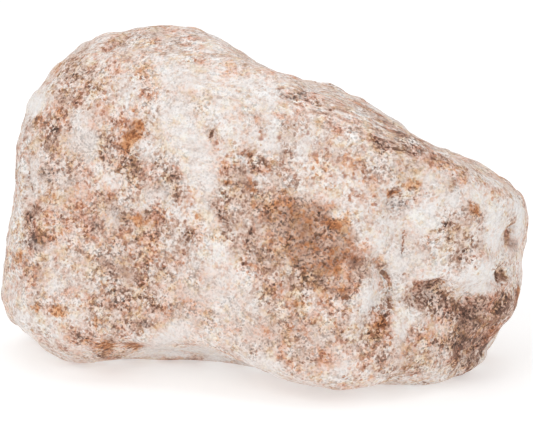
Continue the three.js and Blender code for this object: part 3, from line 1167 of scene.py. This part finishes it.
@dataclass(frozen=True)
class RockSalt:
    """Natural rock salt: grown halite grains with clay and iron oxide between them, broken and weathered.

    The grains are white where they are full of small cracks and grey where they are clear. Clay and rust lie
    between them, so the colour runs without a clean edge from white through peach to brown, speckled by the
    grain. A broken face is matt with a few glints. The finest grain is about 0.3 mm across in the real salt.
    It is drawn coarser here, so that it shows.

    Attributes:
        clay: The run of colours from clean salt to full stain.
        hues: The runs that take over from it in places.
        stops: Where the colours of a run lie, from no stain to full stain.
        deepest: The sum of all stains that counts as full.
        fleck: Colour of the red flecks.
        fleck_mm: Spacing of the cells that may hold a fleck.
        fleck_ragged: How far the grain pushes a fleck's outline.
        fleck_edge: Where a fleck begins and where it is full, in its cell.
        fleck_chance: The lots between which a cell gets its fleck.
        fleck_cover: How much a fleck hides of what is below it.
        ground: The stain that lies all over.
        mottle: How far the cloudy pattern swings the stain.
        grain: How far each grain swings the stain.
        few_grains: How few grains are dark. A higher power leaves fewer.
        dark_grain: How much darker those are.
        fine_grain: How far each fine grain swings the stain.
        cleanest: The most that speckles may take off the stain.
        streak: How far the streaks of a worn face swing the stain.
        grit_range: The marks of grit between which speckles go from weakest to strongest.
        contrast: How strong speckles are at those.
        cluster_range: The values of the cluster pattern between which speckles gather.
        gather: How strong speckles are at those.
        crack_ragged: How far the cloudy pattern breaks up the dark line along a dent.
        crack_edge: Where that line begins and where it is full.
        crack_darkness: How dark it is; under the slope's ledges, in the crown recess and along the arch line
            it is painted shade.
        grain_shade: How far each grain swings the light.
        fine_shade: How far each fine grain swings the light.
        lightest: The most that grains may add to the light.
        stain_range: The marks of stain between which that shade goes from weakest to strongest.
        shade_contrast: How strong the shade is at those.
        hue_grain: How far each grain pushes the edge of a hue.
        bed_deg: How far the salt's bed leans.
        pattern_shift: Moves each pattern away from the one before.
        grain_mm: Width of a grain.
        fine_grain_mm: Width of a fine grain.
        roughness: Roughness of full stain and of clean salt.
        shine_range: The brightness of the colour at those.
        ior: Index of refraction of halite.
        subsurface: How much light passes through the outer grains.
        depth_mm: How deep it goes.
        depth_colour: How far red, green and blue go, as shares of that depth.
        bump_mm: Height of the relief that is too fine for the mesh.
        bump_strength: How strongly it turns the light.
        grain_rise: How a grain stands up, from its middle outwards.
        crease_mm: Height of the folds along the edges of the hue pattern.
    """

    clay: tuple[str, ...] = ("#EDE9E7", "#E6DDD8", "#DAC6BB", "#C5A695", "#A27C69", "#694C40")
    hues: tuple[Hue, ...] = (SALMON, OCHRE, IRON, GREY)
    stops: tuple[float, ...] = (0.0, 0.14, 0.28, 0.42, 0.6, 1.0)
    deepest: float = 1.42
    fleck: str = "#9C6450"
    fleck_mm: float = 2.8
    fleck_ragged: float = 0.3
    fleck_edge: tuple[float, float] = (0.48, 0.22)
    fleck_chance: tuple[float, float] = (0.4, 0.6)
    fleck_cover: float = 0.8
    ground: float = 0.25
    mottle: float = 2.55
    grain: float = 0.16
    few_grains: float = 4.0
    dark_grain: float = 0.56
    fine_grain: float = 0.14
    cleanest: float = 0.18
    streak: float = 2.4
    grit_range: tuple[float, float] = (-0.4, 1.0)
    contrast: tuple[float, float] = (0.12, 1.9)
    cluster_range: tuple[float, float] = (0.3, 0.7)
    gather: tuple[float, float] = (0.5, 1.5)
    crack_ragged: float = 2.2
    crack_edge: tuple[float, float] = (1.7, 1.9)
    crack_darkness: float = 0.6
    grain_shade: float = 0.12
    fine_shade: float = 0.62
    lightest: float = 0.05
    stain_range: tuple[float, float] = (-0.2, 0.3)
    shade_contrast: tuple[float, float] = (0.25, 1.75)
    hue_grain: float = 0.5
    bed_deg: float = 19.0
    pattern_shift: tuple[float, float, float] = (0.31, 0.17, 0.23)
    grain_mm: float = 0.9
    fine_grain_mm: float = 0.55
    roughness: tuple[float, float] = (0.85, 0.5)
    shine_range: tuple[float, float] = (0.2, 0.85)
    ior: float = 1.544
    subsurface: float = 0.06
    depth_mm: float = 1.0
    depth_colour: tuple[float, float, float] = (1.0, 0.8, 0.7)
    bump_mm: float = 0.35
    bump_strength: float = 0.7
    grain_rise: float = -0.5
    crease_mm: float = 5.0

    def build(self) -> bpy.types.Material:
        """Makes the material.

        Returns:
            The material, for the whole lump.
        """
        material = bpy.data.materials.new("broken rock salt")
        material.use_nodes = True
        tree = material.node_tree
        tree.nodes.clear()
        place = add_node(tree, "ShaderNodeTexCoord", {}).outputs["Object"]
        patterns = self.patterns(tree, place)
        marks = {
            mark: add_node(tree, "ShaderNodeAttribute", {}, attribute_name=mark.value).outputs["Fac"]
            for mark in Mark
        }
        grains = add_node(
            tree, "ShaderNodeTexVoronoi", {"Vector": place, "Scale": 1 / (self.grain_mm * MM)}
        )
        lots = add_node(tree, "ShaderNodeSeparateColor", {0: grains.outputs["Color"]})
        fine = add_node(
            tree, "ShaderNodeTexVoronoi", {"Vector": place, "Scale": 1 / (self.fine_grain_mm * MM)}
        )
        fine_lot = add_node(tree, "ShaderNodeSeparateColor", {0: fine.outputs["Color"]})
        speckle = self.swung(
            tree,
            (
                (patterns[Pattern.MOTTLE], self.mottle),
                (lots.outputs[0], self.grain),
                (fine_lot.outputs[0], self.fine_grain),
            ),
        )
        few = add_node(tree, "ShaderNodeMath", {0: lots.outputs[2], 1: self.few_grains}, operation="POWER")
        speckle = add_node(
            tree,
            "ShaderNodeMath",
            {0: few.outputs[0], 1: self.dark_grain, 2: speckle},
            operation="MULTIPLY_ADD",
        ).outputs[0]
        gather = add_node(
            tree,
            "ShaderNodeMapRange",
            {
                "Value": patterns[Pattern.CLUSTER],
                "From Min": self.cluster_range[0],
                "From Max": self.cluster_range[1],
                "To Min": self.gather[0],
                "To Max": self.gather[1],
            },
        ).outputs[0]
        speckle = add_node(tree, "ShaderNodeMath", {0: speckle, 1: gather}, operation="MULTIPLY").outputs[0]
        depth = self.stain_depth(tree, marks, speckle, gather, patterns)
        colour = self.stained(tree, depth, self.clay)
        for hue in self.hues:
            mark = marks[hue.mark] if hue.mark else 0.0
            share = self.hue_share(tree, hue, mark, patterns[hue.pattern], lots.outputs[1])
            turned = self.stained(tree, depth, hue.colours)
            inputs = {MIX_SHARE: share, MIX_FIRST: colour, MIX_SECOND: turned}
            colour = add_node(tree, "ShaderNodeMix", inputs, data_type="RGBA").outputs[MIX_COLOUR]
        shade = self.swung(
            tree, ((lots.outputs[0], -self.grain_shade), (fine_lot.outputs[0], -self.fine_shade))
        )
        shade = add_node(
            tree, "ShaderNodeMath", {0: shade, 1: self.lightest}, operation="MINIMUM"
        ).outputs[0]
        shade = add_node(tree, "ShaderNodeMath", {0: shade, 1: gather}, operation="MULTIPLY").outputs[0]
        colour = self.shaded(tree, colour, shade, marks[Mark.STAIN])
        colour = self.flecked(tree, colour, marks[Mark.FLECK], place, lots.outputs[0])
        self.surface(tree, colour, grains.outputs["Distance"], patterns)
        return material

    def patterns(
        self, tree: bpy.types.NodeTree, place: bpy.types.NodeSocket
    ) -> dict[Pattern, bpy.types.NodeSocket]:
        """Adds the noise patterns.

        Args:
            tree: The material's nodes.
            place: Object coordinates.

        Returns:
            The value of each pattern, about 0 to 1.
        """
        found = {}
        for order, pattern in enumerate(Pattern):
            size_mm, detail, rough, stretch = pattern.value
            size = size_mm * MM
            drawn = add_node(
                tree,
                "ShaderNodeMapping",
                {
                    "Vector": place,
                    "Location": [shift * order for shift in self.pattern_shift],
                    "Rotation": (0.0, math.radians(self.bed_deg), 0.0),
                    "Scale": (size * stretch, size, size),
                },
                vector_type="TEXTURE",
            )
            noise_node = add_node(
                tree,
                "ShaderNodeTexNoise",
                {"Vector": drawn.outputs[0], "Scale": 1.0, "Detail": detail, "Roughness": rough},
            )
            found[pattern] = noise_node.outputs[0]
        return found

    def swung(
        self, tree: bpy.types.NodeTree, terms: tuple[tuple[bpy.types.NodeSocket, float], ...]
    ) -> bpy.types.NodeSocket:
        """Adds patterns together, each one swinging about a middle of 0.

        Args:
            tree: The material's nodes.
            terms: Patterns about a middle of 0.5, and how far each one swings.

        Returns:
            The sum.
        """
        total = -sum(swing for _, swing in terms) / 2
        for pattern, swing in terms:
            total = add_node(
                tree, "ShaderNodeMath", {0: pattern, 1: swing, 2: total}, operation="MULTIPLY_ADD"
            ).outputs[0]
        return total

    def stain_depth(
        self,
        tree: bpy.types.NodeTree,
        marks: dict[Mark, bpy.types.NodeSocket],
        speckle: bpy.types.NodeSocket,
        gather: bpy.types.NodeSocket,
        patterns: dict[Pattern, bpy.types.NodeSocket],
    ) -> bpy.types.NodeSocket:
        """Adds how deeply the salt is stained, from the marks and the natural patterns, with the painted
        shade that some of them carry.

        Args:
            tree: The material's nodes.
            marks: The vertex attributes.
            speckle: How far the grain swings the stain.
            gather: How strong the streaks are, uneven over the lump.
            patterns: The noise patterns.

        Returns:
            The depth of the stain, 0 for white salt and 1 for the darkest clay.
        """
        contrast = add_node(
            tree,
            "ShaderNodeMapRange",
            {
                "Value": marks[Mark.GRIT],
                "From Min": self.grit_range[0],
                "From Max": self.grit_range[1],
                "To Min": self.contrast[0],
                "To Max": self.contrast[1],
            },
        )
        lines = self.swung(tree, ((patterns[Pattern.STREAK], self.streak),))
        lines = add_node(tree, "ShaderNodeMath", {0: lines, 1: gather}, operation="MULTIPLY").outputs[0]
        streaks = add_node(
            tree, "ShaderNodeMath", {0: lines, 1: marks[Mark.WORN], 2: self.ground}, operation="MULTIPLY_ADD"
        )
        level = add_node(
            tree, "ShaderNodeMath", {0: streaks.outputs[0], 1: marks[Mark.STAIN]}, operation="ADD"
        )
        # The dark line along the dents, painted shade under the slope's ledges, in the crown recess and
        # along the arch line.
        ragged = add_node(
            tree,
            "ShaderNodeMath",
            {0: patterns[Pattern.MOTTLE], 1: self.crack_ragged, 2: marks[Mark.CRACK]},
            operation="MULTIPLY_ADD",
        )
        dent_line = add_node(
            tree,
            "ShaderNodeMapRange",
            {
                "Value": ragged.outputs[0],
                "From Min": self.crack_edge[0],
                "From Max": self.crack_edge[1],
                "To Max": self.crack_darkness,
            },
            interpolation_type="SMOOTHSTEP",
        )
        level = add_node(
            tree, "ShaderNodeMath", {0: level.outputs[0], 1: dent_line.outputs[0]}, operation="ADD"
        )
        grit = add_node(
            tree, "ShaderNodeMath", {0: speckle, 1: contrast.outputs[0]}, operation="MULTIPLY"
        )
        grit = add_node(
            tree, "ShaderNodeMath", {0: grit.outputs[0], 1: -self.cleanest}, operation="MAXIMUM"
        )
        depth = add_node(
            tree, "ShaderNodeMath", {0: level.outputs[0], 1: grit.outputs[0]}, operation="ADD"
        )
        return add_node(
            tree, "ShaderNodeMath", {0: depth.outputs[0], 1: self.deepest}, operation="DIVIDE"
        ).outputs[0]

    def shaded(
        self,
        tree: bpy.types.NodeTree,
        colour: bpy.types.NodeSocket,
        shade: bpy.types.NodeSocket,
        mark: bpy.types.NodeSocket,
    ) -> bpy.types.NodeSocket:
        """Adds the fine shadow between grains, which is too fine for the mesh, stronger where clay lies.

        Args:
            tree: The material's nodes.
            colour: The colour so far.
            shade: How far the grain swings the light.
            mark: The vertex attribute of the stain.

        Returns:
            The colour with the shade.
        """
        contrast = add_node(
            tree,
            "ShaderNodeMapRange",
            {
                "Value": mark,
                "From Min": self.stain_range[0],
                "From Max": self.stain_range[1],
                "To Min": self.shade_contrast[0],
                "To Max": self.shade_contrast[1],
            },
        )
        light = add_node(
            tree, "ShaderNodeMath", {0: shade, 1: contrast.outputs[0], 2: 1.0}, operation="MULTIPLY_ADD"
        )
        return add_node(
            tree, "ShaderNodeVectorMath", {0: colour, "Scale": light.outputs[0]}, operation="SCALE"
        ).outputs[0]

    def stained(
        self, tree: bpy.types.NodeTree, depth: bpy.types.NodeSocket, colours: tuple[str, ...]
    ) -> bpy.types.NodeSocket:
        """Adds the run of colours that the salt takes on as more clay or rust lies in it.

        Args:
            tree: The material's nodes.
            depth: The depth of the stain.
            colours: The sRGB colours from none to full stain.

        Returns:
            The colour.
        """
        run = add_node(tree, "ShaderNodeValToRGB", {"Fac": depth})
        stops = run.color_ramp.elements
        for place in self.stops[1:-1]:
            stops.new(place)
        for stop, colour in zip(stops, colours):
            stop.color = linear(colour)
        return run.outputs[0]

    def hue_share(
        self,
        tree: bpy.types.NodeTree,
        hue: Hue,
        mark: bpy.types.NodeSocket | float,
        pattern: bpy.types.NodeSocket,
        lot: bpy.types.NodeSocket,
    ) -> bpy.types.NodeSocket:
        """Adds how far a hue takes over, with an edge that follows the hue pattern and the grain.

        Args:
            tree: The material's nodes.
            hue: The hue.
            mark: The vertex attribute of the hue, or 0 for one that lies all over.
            pattern: The hue pattern.
            lot: A random share for each grain.

        Returns:
            The share, from 0 to 1.
        """
        level = self.swung(tree, ((pattern, hue.swing), (lot, self.hue_grain)))
        marked = add_node(tree, "ShaderNodeMath", {0: level, 1: mark}, operation="ADD")
        share = add_node(
            tree,
            "ShaderNodeMapRange",
            {"Value": marked.outputs[0], "From Min": hue.edge[0], "From Max": hue.edge[1]},
            interpolation_type="SMOOTHSTEP",
        )
        return share.outputs[0]

    def flecked(
        self,
        tree: bpy.types.NodeTree,
        colour: bpy.types.NodeSocket,
        mark: bpy.types.NodeSocket,
        place: bpy.types.NodeSocket,
        lot: bpy.types.NodeSocket,
    ) -> bpy.types.NodeSocket:
        """Adds small red flecks, one in some of the cells of a loose pattern.

        Args:
            tree: The material's nodes.
            colour: The colour so far.
            mark: Where flecks lie.
            place: Object coordinates.
            lot: A random share for each grain, which makes the flecks' outlines uneven.

        Returns:
            The colour with the flecks.
        """
        cells = add_node(
            tree, "ShaderNodeTexVoronoi", {"Vector": place, "Scale": 1 / (self.fleck_mm * MM)}
        )
        chance = add_node(tree, "ShaderNodeSeparateColor", {0: cells.outputs["Color"]})
        uneven = add_node(
            tree,
            "ShaderNodeMath",
            {0: lot, 1: self.fleck_ragged, 2: cells.outputs["Distance"]},
            operation="MULTIPLY_ADD",
        )
        dot = add_node(
            tree,
            "ShaderNodeMapRange",
            {
                "Value": uneven.outputs[0],
                "From Min": self.fleck_edge[0],
                "From Max": self.fleck_edge[1],
            },
        )
        chosen = add_node(
            tree, "ShaderNodeMath", {0: chance.outputs[0], 1: mark}, operation="MULTIPLY"
        )
        gate = add_node(
            tree,
            "ShaderNodeMapRange",
            {
                "Value": chosen.outputs[0],
                "From Min": self.fleck_chance[0],
                "From Max": self.fleck_chance[1],
                "To Max": self.fleck_cover,
            },
        )
        share = add_node(
            tree, "ShaderNodeMath", {0: dot.outputs[0], 1: gate.outputs[0]}, operation="MULTIPLY"
        )
        inputs = {MIX_SHARE: share.outputs[0], MIX_FIRST: colour, MIX_SECOND: linear(self.fleck)}
        return add_node(tree, "ShaderNodeMix", inputs, data_type="RGBA").outputs[MIX_COLOUR]

    def surface(
        self,
        tree: bpy.types.NodeTree,
        colour: bpy.types.NodeSocket,
        grains: bpy.types.NodeSocket,
        patterns: dict[Pattern, bpy.types.NodeSocket],
    ) -> None:
        """Adds the shader: stains are dull, white salt glints a little, and the grain stands up.

        Args:
            tree: The material's nodes.
            colour: The finished colour.
            grains: Distance from the middle of each grain.
            patterns: The noise patterns.
        """
        shine = add_node(
            tree,
            "ShaderNodeMapRange",
            {
                "Value": colour,
                "From Min": self.shine_range[0],
                "From Max": self.shine_range[1],
                "To Min": self.roughness[0],
                "To Max": self.roughness[1],
            },
        )
        height = add_node(
            tree,
            "ShaderNodeMath",
            {0: grains, 1: self.grain_rise, 2: patterns[Pattern.MOTTLE]},
            operation="MULTIPLY_ADD",
        )
        folds = self.swung(tree, ((patterns[Pattern.HUE], self.crease_mm / self.bump_mm),))
        creases = add_node(tree, "ShaderNodeMath", {0: folds}, operation="ABSOLUTE")
        height = add_node(
            tree, "ShaderNodeMath", {0: height.outputs[0], 1: creases.outputs[0]}, operation="ADD"
        )
        relief = add_node(
            tree,
            "ShaderNodeBump",
            {
                "Height": height.outputs[0],
                "Strength": self.bump_strength,
                "Distance": self.bump_mm * MM,
            },
        )
        shader = add_node(
            tree,
            "ShaderNodeBsdfPrincipled",
            {
                "Base Color": colour,
                "Roughness": shine.outputs[0],
                "Normal": relief.outputs[0],
                "IOR": self.ior,
                "Subsurface Weight": self.subsurface,
                "Subsurface Radius": self.depth_colour,
                "Subsurface Scale": self.depth_mm * MM,
            },
        )
        add_node(tree, "ShaderNodeOutputMaterial", {"Surface": shader.outputs[0]})


@dataclass(frozen=True)
class SoftBox:
    """A large soft studio light.

    Attributes:
        name: What the light is.
        at_mm: Where it stands.
        side_mm: Its side.
        watts: Its power.
    """

    name: str
    at_mm: tuple[float, float, float]
    side_mm: float
    watts: float


@dataclass
class Studio:
    """A white floor that glows softly, under soft light from all round.

    Attributes:
        floor_mm: The floor's side.
        floor_colour: Its colour.
        floor_roughness: Its roughness.
        floor_glow: How strongly it glows.
        sky_strength: How strong the even light from all round is.
        boxes: The soft lights.
        aim_mm: Where they point.
    """

    floor_mm: float = 6000.0
    floor_colour: str = "#D0D0D0"
    floor_roughness: float = 0.9
    floor_glow: float = 0.44
    sky_strength: float = 0.62
    boxes: tuple[SoftBox, ...] = (
        SoftBox("key_light", (-1800, -2400, 2600), 2400, 42.0),
        SoftBox("fill_light", (2400, -2600, 1400), 2000, 15.0),
        SoftBox("top_light", (0, 300, 3000), 2600, 28.0),
    )
    aim_mm: tuple[float, float, float] = (0.0, 0.0, 45.0)

    def build(self) -> bpy.types.Object:
        """Makes the floor, the sky and the lights.

        Returns:
            The floor.
        """
        floor = self.floor()
        self.sky()
        for box in self.boxes:
            self.light(box)
        bpy.context.scene.view_settings.view_transform = "Standard"
        return floor

    def floor(self) -> bpy.types.Object:
        """Makes the floor that the lump lies on.

        Returns:
            The floor.
        """
        sheet = bmesh.new()
        bmesh.ops.create_grid(sheet, x_segments=1, y_segments=1, size=self.floor_mm * MM / 2)
        mesh = bpy.data.meshes.new("studio_floor")
        sheet.to_mesh(mesh)
        sheet.free()
        floor = bpy.data.objects.new("studio_floor", mesh)
        bpy.context.scene.collection.objects.link(floor)
        # A cast opal sheet with a matt face that glows: painted light, which keeps it even white, lights the
        # lump's underside and leaves only a soft shadow on it.
        opal = bpy.data.materials.new("opal acrylic")
        opal.use_nodes = True
        shader = opal.node_tree.nodes["Principled BSDF"]
        shader.inputs["Base Color"].default_value = linear(self.floor_colour)
        shader.inputs["Roughness"].default_value = self.floor_roughness
        shader.inputs["Emission Color"].default_value = linear("#FFFFFF")
        shader.inputs["Emission Strength"].default_value = self.floor_glow
        mesh.materials.append(opal)
        return floor

    def sky(self) -> None:
        """Makes the even white light from all round."""
        world = bpy.data.worlds.new("white_studio")
        world.use_nodes = True
        background = world.node_tree.nodes["Background"]
        background.inputs["Color"].default_value = linear("#FFFFFF")
        background.inputs["Strength"].default_value = self.sky_strength
        bpy.context.scene.world = world

    def light(self, box: SoftBox) -> bpy.types.Object:
        """Makes one soft light, aimed at the lump.

        Args:
            box: The light's place and size.

        Returns:
            The light object.
        """
        data = bpy.data.lights.new(box.name, "AREA")
        data.size = box.side_mm * MM
        data.energy = box.watts
        lamp = bpy.data.objects.new(box.name, data)
        bpy.context.scene.collection.objects.link(lamp)
        lamp.location = Vector(box.at_mm) * MM
        aim = Vector(self.aim_mm) * MM - lamp.location
        lamp.rotation_euler = aim.to_track_quat("-Z", "Y").to_euler()
        return lamp


def main() -> None:
    """Builds the dressed lump, the studio and the camera, and logs the lump's face count and the objects'
    names.
    """
    logging.basicConfig(level=logging.INFO, format="%(name)s: %(message)s")
    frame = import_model()
    view = PhotoView()
    lump = SaltLump(frame["nodes"][CAD_NODE], view)
    piece = lump.build()
    piece.data.materials.clear()
    piece.data.materials.append(RockSalt().build())
    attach(piece, BODY)
    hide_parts(CAD_NODE)
    LOG.info("%s: %d faces", piece.name, len(piece.data.polygons))
    floor = Studio().build()
    LOG.info("%s", floor.name)
    camera = view.place_camera()
    LOG.info("%s", camera.name)


if __name__ == "__main__":
    main()
